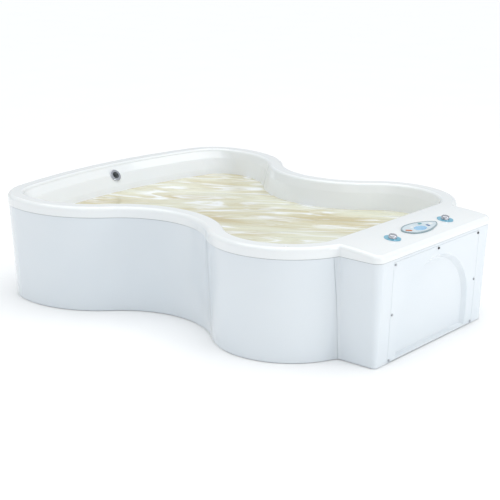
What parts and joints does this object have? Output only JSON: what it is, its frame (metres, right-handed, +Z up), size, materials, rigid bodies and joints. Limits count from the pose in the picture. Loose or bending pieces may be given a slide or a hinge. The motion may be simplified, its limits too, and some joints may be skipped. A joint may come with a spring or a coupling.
{
  "type": "massage bath",
  "caption": "White two-lobed massage bath with a skirt to the floor and an end console that carries a leaf-shaped display panel and chrome control knobs.",
  "frame": {"origin": "on the floor, under the middle of the bath", "axes": "+X towards the console end, +Z up, -Y towards the side the bather steps in from"},
  "size_m": [2.3006, 1.7416, 0.5637],
  "materials": {
    "acrylic_shell": "gloss white acrylic",
    "acrylic_skirt": "gloss white acrylic",
    "seal_rubber": "satin",
    "chrome": "polished",
    "galvanised_steel": "galvanised",
    "stainless_steel": "satin",
    "foot_rubber": "matt",
    "plywood": "sealed ply",
    "pvc_grey": "moulded",
    "pvc_white": "moulded",
    "motor_paint": "satin paint",
    "box_plastic": "moulded",
    "cap_grey": "moulded",
    "cap_dark": "moulded",
    "knob_plate_blue": "gloss",
    "bezel_teal": "gloss",
    "panel_light_grey": "satin",
    "display_blue": "gloss",
    "key_orange": "satin",
    "key_teal": "satin",
    "key_blue": "satin",
    "key_white": "satin",
    "circuit_green": "laminate",
    "cable_black": "matt"
  },
  "bodies": {
    "bath": {"air_manifold": "pvc_white", "apron_front": "acrylic_skirt", "apron_rear": "acrylic_skirt", "cable_gland": "pvc_grey", "circuit_board": "circuit_green", "console_casing": "acrylic_skirt", "control_box": "box_plastic", "control_box_lid": "box_plastic", "display_window": "display_blue", "drain_body": "pvc_grey", "drain_flange": "chrome", "drain_nut": "pvc_grey", "floor_board": "plywood", "foot_lock_nuts": "stainless_steel", "foot_pads": "foot_rubber", "foot_studs": "stainless_steel", "frame": "galvanised_steel", "jet_bodies": "pvc_grey", "jet_nuts": "pvc_grey", "jet_rings": "chrome", "knob_plates": "knob_plate_blue", "overflow_body": "pvc_grey", "overflow_pipe": "pvc_grey", "overflow_ring": "chrome", "panel_bezel": "bezel_teal", "panel_cable": "cable_black", "panel_face": "panel_light_grey", "panel_housing": "box_plastic", "panel_screws": "stainless_steel", "pump_base": "galvanised_steel", "pump_motor": "motor_paint", "pump_wet_end": "pvc_grey", "rim_seal": "seal_rubber", "screw_caps_dark": "cap_dark", "screw_caps_grey": "cap_grey", "service_panel": "acrylic_skirt", "suction_body": "pvc_grey", "suction_cover": "chrome", "suction_pipe": "pvc_white", "tub_shell": "acrylic_shell", "valve_bodies": "pvc_grey", "waste_tee": "pvc_grey", "water_manifold": "pvc_white"},
    "jet_nozzle_1": {"jet_nozzle_1": "chrome"},
    "jet_nozzle_2": {"jet_nozzle_2": "chrome"},
    "jet_nozzle_3": {"jet_nozzle_3": "chrome"},
    "jet_nozzle_4": {"jet_nozzle_4": "chrome"},
    "jet_nozzle_5": {"jet_nozzle_5": "chrome"},
    "jet_nozzle_6": {"jet_nozzle_6": "chrome"},
    "jet_nozzle_7": {"jet_nozzle_7": "chrome"},
    "jet_nozzle_8": {"jet_nozzle_8": "chrome"},
    "drain_plug": {"drain_plug": "chrome"},
    "air_knob": {"air_knob": "chrome"},
    "diverter_knob": {"diverter_knob": "chrome"},
    "power_button": {"power_button": "key_orange"},
    "key_jets": {"key_jets": "key_teal"},
    "key_light": {"key_light": "key_blue"},
    "key_mode": {"key_mode": "key_white"},
    "key_set": {"key_set": "key_white"}
  },
  "joints": [
    {"name": "jet_1_pan", "type": "hinge", "parent": "bath", "child": "jet_nozzle_1", "pos_m": [-0.73298, -0.72244, 0.26133], "axis": [-0.0078, 0.224, -0.9746], "range_deg": [-15, 15]},
    {"name": "jet_2_pan", "type": "hinge", "parent": "bath", "child": "jet_nozzle_2", "pos_m": [-0.73298, 0.72244, 0.26133], "axis": [-0.0078, -0.224, -0.9746], "range_deg": [-15, 15]},
    {"name": "jet_3_pan", "type": "hinge", "parent": "bath", "child": "jet_nozzle_3", "pos_m": [-0.55842, -0.67567, 0.26133], "axis": [-0.1052, 0.1979, -0.9746], "range_deg": [-15, 15]},
    {"name": "jet_4_pan", "type": "hinge", "parent": "bath", "child": "jet_nozzle_4", "pos_m": [-0.55842, 0.67567, 0.26133], "axis": [-0.1052, -0.1979, -0.9746], "range_deg": [-15, 15]},
    {"name": "jet_5_pan", "type": "hinge", "parent": "bath", "child": "jet_nozzle_5", "pos_m": [0.49511, -0.59821, 0.26133], "axis": [0.0542, 0.2175, -0.9746], "range_deg": [-15, 15]},
    {"name": "jet_6_pan", "type": "hinge", "parent": "bath", "child": "jet_nozzle_6", "pos_m": [0.49511, 0.59821, 0.26133], "axis": [0.0542, -0.2175, -0.9746], "range_deg": [-15, 15]},
    {"name": "jet_7_pan", "type": "hinge", "parent": "bath", "child": "jet_nozzle_7", "pos_m": [0.65837, -0.58392, 0.26133], "axis": [-0.0912, 0.2048, -0.9746], "range_deg": [-15, 15]},
    {"name": "jet_8_pan", "type": "hinge", "parent": "bath", "child": "jet_nozzle_8", "pos_m": [0.65837, 0.58392, 0.26133], "axis": [-0.0912, -0.2048, -0.9746], "range_deg": [-15, 15]},
    {"name": "drain_plug_lift", "type": "slide", "parent": "bath", "child": "drain_plug", "axis": [0, 0, 1], "range_m": [0, 0.012]},
    {"name": "air_knob_turn", "type": "hinge", "parent": "bath", "child": "air_knob", "pos_m": [1.038, -0.222, 0.54317], "axis": [0.0863, 0, 0.9963], "range_deg": [0, 180]},
    {"name": "diverter_knob_turn", "type": "hinge", "parent": "bath", "child": "diverter_knob", "pos_m": [1.038, 0.222, 0.54317], "axis": [0.0863, 0, 0.9963], "range_deg": [0, 180]},
    {"name": "power_button_press", "type": "slide", "parent": "bath", "child": "power_button", "axis": [-0.082, 0, -0.9966], "range_m": [0, 0.001], "stiffness_N_per_m": 500, "springref_m": -0.0005},
    {"name": "key_jets_press", "type": "slide", "parent": "bath", "child": "key_jets", "axis": [-0.082, 0, -0.9966], "range_m": [0, 0.001], "stiffness_N_per_m": 500, "springref_m": -0.0005},
    {"name": "key_light_press", "type": "slide", "parent": "bath", "child": "key_light", "axis": [-0.082, 0, -0.9966], "range_m": [0, 0.001], "stiffness_N_per_m": 500, "springref_m": -0.0005},
    {"name": "key_mode_press", "type": "slide", "parent": "bath", "child": "key_mode", "axis": [-0.082, 0, -0.9966], "range_m": [0, 0.001], "stiffness_N_per_m": 500, "springref_m": -0.0005},
    {"name": "key_set_press", "type": "slide", "parent": "bath", "child": "key_set", "axis": [-0.082, 0, -0.9966], "range_m": [0, 0.001], "stiffness_N_per_m": 500, "springref_m": -0.0005}
  ]
}
